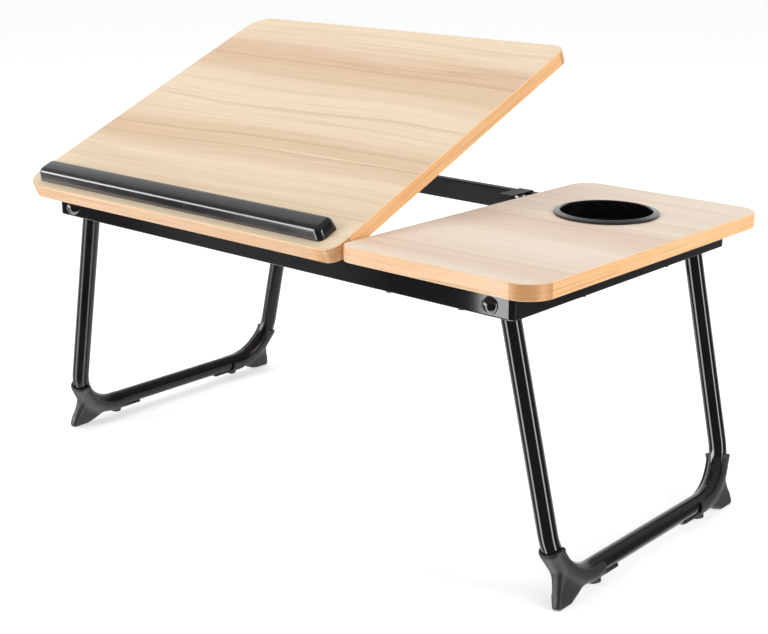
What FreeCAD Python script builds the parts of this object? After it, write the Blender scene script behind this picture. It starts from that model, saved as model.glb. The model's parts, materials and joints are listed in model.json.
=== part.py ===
import FreeCAD, Part
import os
from math import asin, cos, degrees, radians, sin, sqrt, tan

Vector = FreeCAD.Vector

# Bed tray table with a tilting board, a fixed board with a cup holder and two fold-in legs.
# Millimetres. +Z is up, the user sits at -Y, +X is to the user's right.
# The origin is on the ground, in the middle of the table as it stands with its board tilted.

# ---- whole table ----
table_length = 600.0
table_depth = 340.0
table_height = 265.0

# ---- boards ----
board_thickness = 13.0
fixed_board_width = 192.0
board_gap = 2.0
band_thickness = 1.0
band_edge_radius = 0.8
board_corner_radius = 24.0
meeting_corner_radius = 13.0
inner_corner_radius = 22.0
rest_tilt = 23.5

# ---- cup holder ----
cup_from_right = 97.0
cup_from_front = 236.0
cup_flange_radius = 46.0
cup_flange_edge = 1.9
cup_flange_height = 2.9
cup_rim_softness = 0.5
cup_mouth_radius = 40.0
cup_floor_radius = 38.0
cup_wall = 1.8
cup_depth = 34.0
cup_hole_clearance = 0.3
cup_clip_count = 4
cup_clip_width = 9.0
cup_clip_reach = 1.4
cup_clip_height = 3.0

# ---- frame ring of rectangular tube ----
rail_height = 20.0
rail_width = 10.0
rail_wall = 1.2
rail_edge_radius = 1.5
rail_side_inset = 29.0
rail_front_inset = 15.0
rail_back_inset = 15.0
ring_corner_radius = 6.0
board_rise = 1.5
middle_rail_width = 20.0
middle_rail_height = 10.0
middle_rail_setback = 4.0

# ---- legs of round tube ----
tube_diameter = 16.0
tube_wall = 1.2
leg_pivot_inset = 51.2
leg_pivot_drop = 1.2
leg_standoff = 4.0
leg_splay = 12.6
leg_toe_in = 1.0
leg_bend_radius = 45.0
crossbar_height = 16.0
tube_overrun = 6.0
plug_flange = 1.0
plug_length = 9.0
plug_fit = 0.1

# ---- leg pivots ----
bolt_diameter = 6.0
running_clearance = 0.05
dome_diameter = 14.5
dome_height = 5.5
bolt_end = 1.0
spacer_diameter = 14.0
washer_diameter = 13.0
washer_thickness = 1.0
nut_across_flats = 10.0
nut_height = 5.0
side_clearance = 0.3
stop_pad_height = 5.5
stop_pad_foot = 0.5

# ---- feet clipped on the bends ----
shoe_wall = 2.4
shoe_fit = 0.08
shoe_start_angle = 17.0
shoe_wall_rise = 3.5
shoe_lip = 0.9
shoe_lip_angle = 5.0
shoe_grip_end = 58.0
shoe_tongue_end = 80.0
shoe_tongue_width = 12.0
fin_thickness = 13.4
fin_toe_thickness = 8.0
fin_edge_radius = 3.2
fin_toe_radius = 3.6
fin_waist_height = 31.0
fin_waist_in = 5.4
fin_toe_ahead = 3.5
fin_sole_end = 14.0
fin_rise_end = 36.0
fin_rise_height = 8.9
fin_rise_swell = 1.5
fin_root_end = 47.0
fin_root_height = 20.0
sole_allowance = 0.1
boss_distance = 52.5
boss_radius = 5.6
boss_drop = 2.2

# ---- tilt hinges ----
hinge_from_front = 12.5
hinge_lift = 1.5
hinge_length = 32.0
hinge_from_left = 82.0
hinge_from_split = 91.0
leaf_thickness = 0.6
barrel_radius = 1.9
hinge_pin_radius = 0.95
knuckle_count = 5
knuckle_gap = 0.3
rail_leaf_depth = 9.5
board_leaf_end = 32.0
board_leaf_start = 15.0
pocket_margin = 0.8

# ---- tilt support: bail, clips, racks and straps ----
rod_diameter = 6.0
rod_bend_radius = 9.0
bail_pivot_from_hinge = 150.0
bail_reach = 108.0
bail_arm_from_left = 133.0
bail_arm_from_split = 73.0
bail_foot_length = 30.0
rod_top_clearance = 0.3
clip_inset = 30.0
clip_length = 14.0
clip_wall = 1.3
clip_ear = 9.0
rack_width = 14.0
rack_base = 2.5
rack_pitch = 8.0
rack_tooth_height = 3.0
rack_teeth_behind_count = 3
rack_teeth_ahead_count = 1
rack_clearance = 0.6
rack_screw_cover = 0.6
strap_width = 16.0
strap_gap = 0.3
strap_drop = 16.5
strap_step_from_front = 49.0
strap_tab_height = 12.0
strap_from_arm = 20.0
strap_rail_setback = 1.5

# ---- stop bar on the tilting board ----
bar_left_inset = 15.5
bar_right_inset = 18.5
bar_depth = 22.5
bar_height = 11.5
bar_from_front = 8.3
bar_front_slope = 1.8
bar_back_slope = 1.0
bar_end_slope = 2.0
bar_edge_radius = 2.2
bar_wall = 2.2
bar_boss_radius = 4.5
bar_screw_cover = 1.0
bar_screw_shares = (0.08, 0.36, 0.64, 0.92)

# ---- fasteners and pads ----
wood_screw_diameter = 4.0
wood_screw_head = 7.5
wood_screw_head_height = 2.2
wood_screw_bite = 9.0
small_screw_diameter = 3.0
small_screw_head = 5.4
small_screw_head_height = 0.6
small_screw_bite = 7.0
foot_screw_length = 7.0
foot_screw_recess = 1.2
rivet_diameter = 3.2
rivet_head_diameter = 5.4
rivet_head_height = 1.2
rivet_pitch = 10.0
rivet_drop = 4.0
rest_pad_length = 16.0
rest_pad_width = 7.0
rest_pad_gap = 0.3
rest_pad_from_left = 65.0
rest_pad_from_split = 24.0
spacer_washer_diameter = 9.0

# ---- worked out from the values above ----
tube_radius = tube_diameter / 2
bolt_radius = bolt_diameter / 2
rod_radius = rod_diameter / 2
tilting_board_width = table_length - fixed_board_width - board_gap
underside_z = table_height - board_thickness
rail_top_z = underside_z - board_rise
rail_bottom_z = rail_top_z - rail_height
leg_pivot_z = rail_top_z - rail_height / 2 - leg_pivot_drop
hinge_z = underside_z + hinge_lift
cutter_reach = 1.0


def front_reach():
    """How far the tilted board's top edge stands in front of the flat boards' front edge."""
    back = band_edge_radius - hinge_from_front
    up = table_height - band_edge_radius - hinge_z
    turned = back * cos(radians(rest_tilt)) - up * sin(radians(rest_tilt))
    return -(hinge_from_front + turned - band_edge_radius)


front_y = -(table_depth - front_reach()) / 2
left_x = -table_length / 2


def from_left(distance):
    return left_x + distance


def from_front(distance):
    return front_y + distance


right_x = from_left(table_length)
back_y = from_front(table_depth)
board_split_x = from_left(tilting_board_width)
fixed_left_x = right_x - fixed_board_width
ring_left_x = from_left(rail_side_inset)
ring_right_x = right_x - rail_side_inset
ring_front_y = from_front(rail_front_inset)
ring_back_y = back_y - rail_back_inset
ring_middle_y = (ring_front_y + ring_back_y) / 2
hinge_y = from_front(hinge_from_front)
leg_line_y = ring_front_y + rail_width + leg_standoff + tube_radius
left_pivot_x = from_left(leg_pivot_inset)
right_pivot_x = right_x - leg_pivot_inset
leg_length_to_ground = leg_pivot_z / cos(radians(leg_splay))
crossbar_drop = (leg_pivot_z - crossbar_height) / cos(radians(leg_splay))
shell_radius = tube_radius + shoe_fit + shoe_wall


# ---- small helpers ----
def block(x0, x1, y0, y1, z0, z1):
    return Part.makeBox(x1 - x0, y1 - y0, z1 - z0, Vector(x0, y0, z0))


def rod(start, end, radius):
    run = end.sub(start)
    return Part.makeCylinder(radius, run.Length, start, run)


def prism_x(points, x0, x1):
    """A solid from (y, z) points, drawn out along X."""
    corners = [Vector(x0, y, z) for y, z in points]
    face = Part.Face(Part.makePolygon(corners + corners[:1]))
    return face.extrude(Vector(x1 - x0, 0, 0))


def rounded_plate(x0, x1, y0, y1, z0, z1, radii):
    """A flat plate with a radius at each corner: front left, front right, back right, back left."""
    fl, fr, br, bl = radii
    corners = [
        (Vector(x0, y0, z0), Vector(1, 0, 0), Vector(0, 1, 0), fl),
        (Vector(x1, y0, z0), Vector(0, 1, 0), Vector(-1, 0, 0), fr),
        (Vector(x1, y1, z0), Vector(-1, 0, 0), Vector(0, -1, 0), br),
        (Vector(x0, y1, z0), Vector(0, -1, 0), Vector(1, 0, 0), bl),
    ]
    entries = []
    for corner, leaving, arriving, radius in corners:
        centre = corner + leaving * radius + arriving * radius
        middle = centre - (leaving + arriving) * (radius / sqrt(2))
        entries.append((corner + arriving * radius, middle, corner + leaving * radius))
    edges = []
    for index, (arc_start, arc_middle, arc_end) in enumerate(entries):
        edges.append(Part.Arc(arc_start, arc_middle, arc_end).toShape())
        next_start = entries[(index + 1) % len(entries)][0]
        edges.append(Part.LineSegment(arc_end, next_start).toShape())
    face = Part.Face(Part.Wire(edges))
    return face.extrude(Vector(0, 0, z1 - z0))


def level_edges(shape, heights):
    """Edges that lie wholly at one of the given heights."""
    found = []
    for edge in shape.Edges:
        low = edge.BoundBox.ZMin
        high = edge.BoundBox.ZMax
        if high - low < 1e-6 and min(abs(low - height) for height in heights) < 1e-6:
            found.append(edge)
    return found


def bent_path(points, bend_radius):
    """Straight runs through the points, joined by tangent arcs."""
    edges = []
    run_start = points[0]
    for before, corner, after in zip(points, points[1:], points[2:]):
        back = before.sub(corner).normalize()
        ahead = after.sub(corner).normalize()
        half_angle = back.getAngle(ahead) / 2
        tangent = bend_radius / tan(half_angle)
        bisector = back.add(ahead).normalize()
        arc_start = corner + back * tangent
        arc_end = corner + ahead * tangent
        arc_middle = corner + bisector * (bend_radius / sin(half_angle) - bend_radius)
        edges.append(Part.LineSegment(run_start, arc_start).toShape())
        edges.append(Part.Arc(arc_start, arc_middle, arc_end).toShape())
        run_start = arc_end
    edges.append(Part.LineSegment(run_start, points[-1]).toShape())
    return Part.Wire(edges)


def bent_rod(points, bend_radius, radius):
    path = bent_path(points, bend_radius)
    direction = points[1].sub(points[0])
    ring = Part.Wire(Part.makeCircle(radius, points[0], direction))
    return path.makePipeShell([ring], True, False)


def turned(shape, centre, axis, angle):
    copy = shape.copy()
    copy.rotate(centre, axis, angle)
    return copy


def tilted(shape):
    """Lift a piece that is drawn flat with the tilting board to the board's resting slope."""
    return turned(shape, Vector(0, hinge_y, hinge_z), Vector(1, 0, 0), rest_tilt)


def far_side(shape):
    """The same piece at the other end of its leg, mirrored across the ring's middle."""
    return shape.mirror(Vector(0, ring_middle_y, 0), Vector(0, 1, 0))


def other_leg(shape):
    """The left leg's piece turned half round, for the right leg."""
    return turned(shape, Vector(0, ring_middle_y, 0), Vector(0, 0, 1), 180)


def save(name, *shapes):
    solids = [solid for shape in shapes for solid in shape.Solids]
    for solid in solids:
        if not solid.isValid():
            raise ValueError(name + " is not a valid solid")
    whole = solids[0] if len(solids) == 1 else Part.makeCompound(solids)
    whole.exportStep("parts/" + name + ".step")


# ---- fasteners ----
def screw(tip, head, diameter, head_diameter, head_height):
    """A screw from its tip to the bearing face under its head, with the head beyond it."""
    along = head.sub(tip).normalize()
    shank = rod(tip, head, diameter / 2)
    top = rod(head, head + along * head_height, head_diameter / 2)
    return shank.fuse(top).removeSplitter()


def flush_screw(tip, face, diameter, head_diameter, head_height):
    """A screw whose head is let in flush with the face it is driven from."""
    along = face.sub(tip).normalize()
    return screw(tip, face - along * head_height, diameter, head_diameter, head_height)


def domed_head(centre, outward, diameter, height):
    """A cap of a sphere that stands on a flat face."""
    radius = (diameter * diameter / 4 + height * height) / (2 * height)
    ball = Part.makeSphere(radius, centre - outward * (radius - height))
    keep = rod(centre, centre + outward * (2 * height), diameter)
    return ball.common(keep)


# ---- boards ----
def board_plate(x0, x1, radii, inset):
    plate = rounded_plate(
        x0 + inset, x1 - inset, front_y + inset, back_y - inset, underside_z, table_height,
        [radius - inset for radius in radii])
    return plate


def edge_band(x0, x1, radii):
    outside = board_plate(x0, x1, radii, 0)
    outside = outside.makeFillet(band_edge_radius, level_edges(outside, (underside_z, table_height)))
    return outside.cut(board_plate(x0, x1, radii, band_thickness))


tilting_radii = (board_corner_radius, meeting_corner_radius, meeting_corner_radius, board_corner_radius)
fixed_radii = (meeting_corner_radius, board_corner_radius, board_corner_radius, inner_corner_radius)


# ---- cup holder ----
def cup_centre(z):
    return Vector(right_x - cup_from_right, from_front(cup_from_front), z)


def cup_shell():
    """A tapered cup whose flange lies on the board and rises a little to its soft rim."""
    floor_z = table_height - cup_depth
    edge_z = table_height + cup_flange_edge
    rim_z = table_height + cup_flange_height
    soft = cup_rim_softness
    outline = [
        (0, floor_z), (cup_floor_radius, floor_z),
        (cup_mouth_radius + cup_wall, table_height - board_thickness),
        (cup_mouth_radius + cup_wall, table_height), (cup_flange_radius, table_height),
        (cup_flange_radius, edge_z - soft), (cup_flange_radius - soft, edge_z),
        (cup_mouth_radius + 2 * soft, rim_z), (cup_mouth_radius + soft, rim_z),
        (cup_mouth_radius, rim_z - 2 * soft),
        (cup_mouth_radius, table_height - board_thickness),
        (cup_floor_radius - cup_wall, floor_z + cup_wall), (0, floor_z + cup_wall),
    ]
    corners = [Vector(radius, 0, z) for radius, z in outline]
    face = Part.Face(Part.makePolygon(corners + corners[:1]))
    cup = face.revolve(Vector(0, 0, 0), Vector(0, 0, 1), 360)
    cup.translate(cup_centre(0))
    return cup


def cup_clips():
    """Barbs under the board that keep the cup from lifting out."""
    clips = []
    wall_radius = cup_mouth_radius + cup_wall
    reach = wall_radius + cup_clip_reach
    for index in range(cup_clip_count):
        top = underside_z - side_clearance
        barb = block(cup_mouth_radius - cup_wall, reach, -cup_clip_width / 2, cup_clip_width / 2,
                     top - cup_clip_height, top)
        slope = Part.makeCone(cup_mouth_radius, reach + cup_clip_height, cup_clip_height * 2,
                              Vector(0, 0, top - cup_clip_height * 1.6))
        barb = barb.common(slope)
        barb.rotate(Vector(0, 0, 0), Vector(0, 0, 1), 360 / cup_clip_count * (index + 0.5))
        barb.translate(cup_centre(0))
        clips.append(barb)
    return clips


def cup_bore():
    radius = cup_mouth_radius + cup_wall + cup_hole_clearance
    return rod(cup_centre(underside_z - cutter_reach), cup_centre(table_height + cutter_reach), radius)


def cup_hollow():
    """Everything inside the cup's wall, to trim the barbs."""
    floor_z = table_height - cup_depth + cup_wall
    return Part.makeCone(cup_floor_radius - cup_wall, cup_mouth_radius, underside_z - floor_z,
                         cup_centre(floor_z))


def cup_holder():
    cup = cup_shell()
    for barb in cup_clips():
        cup = cup.fuse(barb)
    return cup.cut(cup_hollow()).removeSplitter()


# ---- frame ring ----
def ring_solid():
    """A closed ring of rectangular tube with its outside corners rounded."""
    radii = [ring_corner_radius] * 4
    hollow_radii = [ring_corner_radius - rail_wall] * 4
    inner_radii = [rail_wall] * 4
    outside = rounded_plate(ring_left_x, ring_right_x, ring_front_y, ring_back_y,
                            rail_bottom_z, rail_top_z, radii)
    opening = block(ring_left_x + rail_width, ring_right_x - rail_width,
                    ring_front_y + rail_width, ring_back_y - rail_width, rail_bottom_z, rail_top_z)
    cavity = rounded_plate(ring_left_x + rail_wall, ring_right_x - rail_wall,
                           ring_front_y + rail_wall, ring_back_y - rail_wall,
                           rail_bottom_z + rail_wall, rail_top_z - rail_wall, hollow_radii)
    reach = rail_width - rail_wall
    core = rounded_plate(ring_left_x + reach, ring_right_x - reach, ring_front_y + reach,
                         ring_back_y - reach, rail_bottom_z, rail_top_z, inner_radii)
    ring = outside.cut(opening)
    ring = ring.makeFillet(rail_edge_radius, level_edges(ring, (rail_bottom_z, rail_top_z)))
    return ring.cut(cavity.cut(core))


def ring_quarters():
    """The ring sawn at its mitres into front, right, back and left rails."""
    ring = ring_solid()
    depth = (ring_back_y - ring_front_y) / 2
    corners = [
        (ring_left_x, ring_front_y), (ring_right_x, ring_front_y),
        (ring_right_x, ring_back_y), (ring_left_x, ring_back_y),
    ]
    inner = [
        (ring_left_x + depth, ring_middle_y), (ring_right_x - depth, ring_middle_y),
        (ring_right_x - depth, ring_middle_y), (ring_left_x + depth, ring_middle_y),
    ]
    rails = []
    for index in range(4):
        follow = (index + 1) % 4
        outline = [corners[index], corners[follow], inner[follow], inner[index]]
        points = []
        for x, y in outline:
            point = Vector(x, y, rail_bottom_z)
            if not points or point.distanceToPoint(points[-1]) > 1e-6:
                points.append(point)
        wedge = Part.Face(Part.makePolygon(points + points[:1])).extrude(Vector(0, 0, rail_height))
        rails.append(ring.common(wedge))
    return rails


def middle_rail():
    """A flat tube across the ring, just inside the fixed board's meeting edge."""
    x0 = fixed_left_x + middle_rail_setback
    x1 = x0 + middle_rail_width
    y0 = ring_front_y + rail_width
    y1 = ring_back_y - rail_width
    z0 = rail_top_z - middle_rail_height
    outside = block(x0, x1, y0, y1, z0, rail_top_z)
    along = [edge for edge in outside.Edges if edge.BoundBox.YLength > middle_rail_width]
    outside = outside.makeFillet(rail_edge_radius, along)
    inside = block(x0 + rail_wall, x1 - rail_wall, y0, y1, z0 + rail_wall, rail_top_z - rail_wall)
    return outside.cut(inside)


# ---- screws that hold the fixed board ----
def rail_screw_places():
    front = ring_front_y + rail_width / 2
    back = ring_back_y - rail_width / 2
    side = ring_right_x - rail_width / 2
    along = (fixed_left_x + fixed_board_width * 0.2, fixed_left_x + fixed_board_width * 0.58)
    across = (from_front(table_depth * 0.32), from_front(table_depth * 0.68))
    places = [(x, y) for x in along for y in (front, back)]
    return places + [(side, y) for y in across]


def middle_screw_places():
    x = fixed_left_x + middle_rail_setback + middle_rail_width / 2
    return [(x, from_front(table_depth * share)) for share in (0.3, 0.7)]


def board_screw(x, y, bearing_z):
    tip = Vector(x, y, underside_z + wood_screw_bite)
    return screw(tip, Vector(x, y, bearing_z), wood_screw_diameter, wood_screw_head,
                 wood_screw_head_height)


def board_spacer(x, y):
    low = Vector(x, y, rail_top_z)
    high = Vector(x, y, underside_z)
    return rod(low, high, spacer_washer_diameter / 2).cut(rod(low, high, wood_screw_diameter / 2))


# ---- leg pivots ----
def pivot_stack(x):
    """The bolt, spacer, washer and nut of one front pivot, from the rail's face inwards."""
    face = Vector(x, ring_front_y, leg_pivot_z)
    inward = Vector(0, 1, 0)
    tube_near = leg_line_y - tube_radius
    tube_far = leg_line_y + tube_radius + side_clearance
    washer_far = tube_far + washer_thickness
    nut_far = washer_far + nut_height
    at = lambda y: Vector(x, y, leg_pivot_z)
    shaft = rod(face, at(nut_far + bolt_end), bolt_radius)
    dome = domed_head(face, inward * -1, dome_diameter, dome_height)
    hole = rod(at(ring_front_y), at(nut_far + bolt_end), bolt_radius)
    spacer = rod(at(ring_front_y + rail_width), at(tube_near - side_clearance), spacer_diameter / 2)
    washer = rod(at(tube_far), at(washer_far), washer_diameter / 2)
    corner = nut_across_flats / sqrt(3)
    hexagon = [at(washer_far) + Vector(corner * cos(radians(60 * k)), 0, corner * sin(radians(60 * k)))
               for k in range(6)]
    nut = Part.Face(Part.makePolygon(hexagon + hexagon[:1])).extrude(inward * nut_height)
    return shaft.fuse(dome).removeSplitter(), spacer.cut(hole), washer.cut(hole), nut.cut(hole)


def four_pivots():
    """Bolts, spacers, washers and nuts, each a list of four."""
    kinds = [[], [], [], []]
    for x in (left_pivot_x, right_pivot_x):
        for index, piece in enumerate(pivot_stack(x)):
            kinds[index] += [piece, far_side(piece)]
    return kinds


def stop_pads():
    """Pads inside the end rails that the opened legs lean on."""
    foot_z = rail_bottom_z + stop_pad_foot
    drop = leg_pivot_z - foot_z
    lean = radians(leg_splay)
    leg_side = left_pivot_x - drop * tan(lean) - tube_radius / cos(lean)
    pad = block(ring_left_x + rail_width, leg_side - side_clearance,
                leg_line_y - tube_radius, leg_line_y + tube_radius, foot_z, foot_z + stop_pad_height)
    return [pad, far_side(pad), other_leg(pad), other_leg(far_side(pad))]


# ---- legs, drawn upright below the left pivot and then splayed ----
def leg_path_points(overrun):
    lean = tan(radians(leg_toe_in))
    top = Vector(left_pivot_x, leg_line_y - overrun * lean, leg_pivot_z + overrun)
    corner = Vector(left_pivot_x, leg_line_y + crossbar_drop * lean, leg_pivot_z - crossbar_drop)
    across = lambda point: Vector(point.x, 2 * ring_middle_y - point.y, point.z)
    return [top, corner, across(corner), across(top)]


def splayed(shape):
    pivot = Vector(left_pivot_x, 0, leg_pivot_z)
    return turned(shape, pivot, Vector(0, 1, 0), leg_splay)


def leg_tube():
    outside = bent_rod(leg_path_points(tube_overrun), leg_bend_radius, tube_radius)
    inside = bent_rod(leg_path_points(tube_overrun), leg_bend_radius, tube_radius - tube_wall)
    tube = outside.cut(inside)
    reach = tube_diameter
    for y in (leg_line_y, 2 * ring_middle_y - leg_line_y):
        hole = rod(Vector(left_pivot_x, y - reach, leg_pivot_z),
                   Vector(left_pivot_x, y + reach, leg_pivot_z), bolt_radius + running_clearance)
        tube = tube.cut(hole)
    return splayed(tube)


def end_plug():
    """A cap pushed into the top of a leg's tube, notched round the pivot bolt."""
    points = leg_path_points(tube_overrun)
    top = points[0]
    along = top.sub(points[1]).normalize()
    flange = rod(top, top + along * plug_flange, tube_radius)
    stub = rod(top - along * plug_length, top, tube_radius - tube_wall - plug_fit)
    pivot = Vector(left_pivot_x, leg_line_y, leg_pivot_z)
    room = rod(pivot - Vector(0, tube_diameter, 0), pivot + Vector(0, tube_diameter, 0),
               bolt_radius + side_clearance)
    slot = block(left_pivot_x - bolt_radius - side_clearance, left_pivot_x + bolt_radius + side_clearance,
                 leg_line_y - tube_diameter, leg_line_y + tube_diameter,
                 leg_pivot_z - plug_length, leg_pivot_z)
    return splayed(flange.fuse(stub).cut(room).cut(slot).removeSplitter())


# ---- feet ----
def bend_centre():
    """Centre of the front bend of the left leg, before the splay."""
    lean = radians(leg_toe_in)
    z = leg_pivot_z - crossbar_drop + leg_bend_radius
    y = leg_line_y + (crossbar_drop - leg_bend_radius) * tan(lean) + leg_bend_radius / cos(lean)
    return Vector(left_pivot_x, y, z)


def bend_piece(radius, first_angle, last_angle):
    """A round bar along the bend between two angles below the level line."""
    centre = bend_centre()
    reach = leg_bend_radius + radius + cutter_reach
    ring = Part.makeTorus(leg_bend_radius, radius, centre, Vector(1, 0, 0))
    outline = [(centre.y, centre.z)]
    for angle in (first_angle, (first_angle + last_angle) / 2, last_angle):
        away = Vector(0, cos(radians(angle)), sin(radians(angle))) * (2 * reach)
        outline.append((centre.y - away.y, centre.z - away.z))
    return ring.common(prism_x(outline, centre.x - reach, centre.x + reach))


def pipe_round_bend(radius, end_distance):
    """A round bar along the bend and the crossbar, to shape the foot's shell and its bore."""
    centre = bend_centre()
    low = Vector(centre.x, centre.y, centre.z - leg_bend_radius)
    end = Vector(centre.x, leg_line_y + end_distance, low.z)
    return bend_piece(radius, shoe_start_angle, 90).fuse(rod(low, end, radius))


def bend_inside():
    """A drum that clears the inner side of the bend above the shell's walls."""
    centre = bend_centre()
    reach = Vector(leg_bend_radius, 0, 0)
    return rod(centre - reach, centre + reach, leg_bend_radius - shoe_wall_rise)


def shoe_shell():
    """The shell that hugs the outside of the bend and the underside of the crossbar."""
    centre = bend_centre()
    low_z = centre.z - leg_bend_radius
    grip = pipe_round_bend(shell_radius, shoe_grip_end)
    tongue = pipe_round_bend(shell_radius, shoe_tongue_end)
    half = shoe_tongue_width / 2
    strip = block(centre.x - half, centre.x + half, centre.y, leg_line_y + shoe_tongue_end,
                  low_z - shell_radius, low_z)
    lip = bend_piece(shell_radius + shoe_lip, shoe_start_angle, shoe_start_angle + shoe_lip_angle)
    above = block(centre.x - shell_radius, centre.x + shell_radius, centre.y,
                  leg_line_y + shoe_tongue_end + cutter_reach, low_z + shoe_wall_rise, centre.z)
    return grip.fuse(tongue.common(strip)).fuse(lip).cut(bend_inside()).cut(above)


def fin_front_view(sole_z, waist_z):
    """A tapered bar along Y with the fin's front view, thin at the sole and full from the waist up."""
    thin = fin_toe_thickness / 2
    full = fin_thickness / 2
    corners = [(thin, sole_z), (full, waist_z), (full, leg_pivot_z)]
    right = [Vector(left_pivot_x + x, ring_front_y - table_depth, z) for x, z in corners]
    left = [Vector(left_pivot_x - x, ring_front_y - table_depth, z) for x, z in reversed(corners)]
    return Part.Face(Part.makePolygon(right + left + right[:1])).extrude(Vector(0, 2 * table_depth, 0))


def fin():
    """The upright fin whose sole stands on the ground."""
    ground_z = leg_pivot_z - leg_length_to_ground
    sole_z = ground_z - fin_toe_thickness / 2 * tan(radians(leg_splay)) - sole_allowance
    at = lambda distance, z: Vector(left_pivot_x - fin_thickness / 2, leg_line_y + distance, z)
    toe = at(-fin_toe_ahead, sole_z)
    waist = at(fin_waist_in, ground_z + fin_waist_height)
    heel = at(fin_sole_end, sole_z)
    rise = at(fin_rise_end, ground_z + fin_rise_height)
    root = at(fin_root_end, ground_z + fin_root_height)
    top = at(fin_root_end / 2, ground_z + fin_waist_height + fin_rise_height)
    swell = (heel + rise) * 0.5 + Vector(0, 1, -1) * fin_rise_swell
    edges = [
        Part.LineSegment(waist, toe).toShape(),
        Part.LineSegment(toe, heel).toShape(),
        Part.Arc(heel, swell, rise).toShape(),
        Part.makePolygon([rise, root, top, waist]),
    ]
    plate = Part.Face(Part.Wire(edges)).extrude(Vector(fin_thickness, 0, 0))
    near = lambda edge, point: edge.distToShape(Part.Vertex(point))[0] < 1e-6
    across = [edge for edge in plate.Edges if edge.BoundBox.YLength < 1e-6 and near(edge, toe)]
    plate = plate.makeFillet(fin_toe_radius, across).common(fin_front_view(sole_z, waist.z))
    one_side = [edge for edge in plate.Edges if edge.BoundBox.XLength < fin_toe_thickness / 2]
    toe_edges = [edge for edge in one_side if edge.BoundBox.ZMin < heel.z + 1e-6
                 and edge.BoundBox.YMax < heel.y - 1]
    fronts = [edge for edge in one_side if edge.BoundBox.ZMax > waist.z - 1e-6
              and edge.BoundBox.ZMin < waist.z - 1 and edge.BoundBox.YMax < waist.y + 1e-6]
    return plate.makeFillet(fin_edge_radius, toe_edges + fronts)


def boss_centre(z):
    return Vector(left_pivot_x, leg_line_y + boss_distance, z)


def foot_parts():
    """One foot and its screw, under the front end of the left leg."""
    low_z = leg_pivot_z - crossbar_drop
    boss_z = low_z - shell_radius - boss_drop
    boss = rod(boss_centre(boss_z), boss_centre(low_z), boss_radius)
    body = shoe_shell().fuse(fin().cut(bend_inside())).fuse(boss)
    bore = pipe_round_bend(tube_radius + shoe_fit, shoe_tongue_end + cutter_reach)
    body = body.cut(bore)
    face = boss_centre(boss_z + foot_screw_recess)
    fastener = flush_screw(face + Vector(0, 0, foot_screw_length), face, small_screw_diameter,
                           small_screw_head, small_screw_head_height)
    way_in = rod(boss_centre(boss_z), face, small_screw_head / 2)
    body = body.cut(fastener).cut(way_in)
    below = block(left_x - table_depth, right_x, front_y - table_depth, back_y, -table_height, 0)
    foot = splayed(body).cut(below)
    return foot, splayed(fastener)


# ---- stop bar ----
def bar_block(inset, top_inset):
    """The bar's outside, or with an inset its hollow."""
    base_y0 = from_front(bar_from_front) + inset
    base_y1 = from_front(bar_from_front + bar_depth) - inset
    x0 = from_left(bar_left_inset) + inset
    x1 = board_split_x - bar_right_inset - inset
    top_z = table_height + bar_height - top_inset
    low = [Vector(x0, base_y0, table_height), Vector(x1, base_y0, table_height),
           Vector(x1, base_y1, table_height), Vector(x0, base_y1, table_height)]
    shifts = [Vector(bar_end_slope, bar_front_slope, 0), Vector(-bar_end_slope, bar_front_slope, 0),
              Vector(-bar_end_slope, -bar_back_slope, 0), Vector(bar_end_slope, -bar_back_slope, 0)]
    high = [Vector(point.x + shift.x, point.y + shift.y, top_z) for point, shift in zip(low, shifts)]
    return Part.makeLoft([Part.makePolygon(ring + ring[:1]) for ring in (low, high)], True, True)


def bar_screw_x():
    x0 = from_left(bar_left_inset)
    x1 = board_split_x - bar_right_inset
    return [x0 + (x1 - x0) * share for share in bar_screw_shares]


def bar_screws():
    y = from_front(bar_from_front + bar_depth / 2)
    tip_z = table_height + bar_height - bar_wall - bar_screw_cover
    return [flush_screw(Vector(x, y, tip_z), Vector(x, y, underside_z), wood_screw_diameter,
                        wood_screw_head, wood_screw_head_height) for x in bar_screw_x()]


def stop_bar():
    outside = bar_block(0, 0)
    soft = [edge for edge in outside.Edges if edge.BoundBox.ZMax > table_height + 1e-6]
    outside = outside.makeFillet(bar_edge_radius, soft)
    bar = outside.cut(bar_block(bar_wall, bar_wall))
    y = from_front(bar_from_front + bar_depth / 2)
    for x in bar_screw_x():
        low = Vector(x, y, table_height)
        boss = rod(low, low + Vector(0, 0, bar_height - bar_wall / 2), bar_boss_radius)
        bar = bar.fuse(boss)
    return bar.removeSplitter()


# ---- tilt hinges ----
def knuckle_spans(centre_x):
    """The X spans of a hinge's knuckles, from left to right."""
    length = (hinge_length - knuckle_gap * (knuckle_count - 1)) / knuckle_count
    start = centre_x - hinge_length / 2
    pitch = length + knuckle_gap
    return [(start + pitch * k, start + pitch * k + length) for k in range(knuckle_count)]


def barrel(x0, x1):
    outside = rod(Vector(x0, hinge_y, hinge_z), Vector(x1, hinge_y, hinge_z), barrel_radius)
    return outside


def hinge_bore(centre_x):
    reach = hinge_length / 2
    return rod(Vector(centre_x - reach, hinge_y, hinge_z), Vector(centre_x + reach, hinge_y, hinge_z),
               hinge_pin_radius + running_clearance)


def rail_leaf(centre_x):
    """The hinge leaf that lies on the front rail."""
    x0 = centre_x - hinge_length / 2
    x1 = centre_x + hinge_length / 2
    heel_y = hinge_y + barrel_radius
    leaf = block(x0, x1, heel_y - leaf_thickness, ring_front_y + rail_leaf_depth,
                 rail_top_z, rail_top_z + leaf_thickness)
    for a, b in knuckle_spans(centre_x)[0::2]:
        web = block(a, b, heel_y - leaf_thickness, heel_y, rail_top_z, hinge_z)
        leaf = leaf.fuse(barrel(a, b)).fuse(web)
    return leaf.cut(hinge_bore(centre_x)).removeSplitter()


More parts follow.
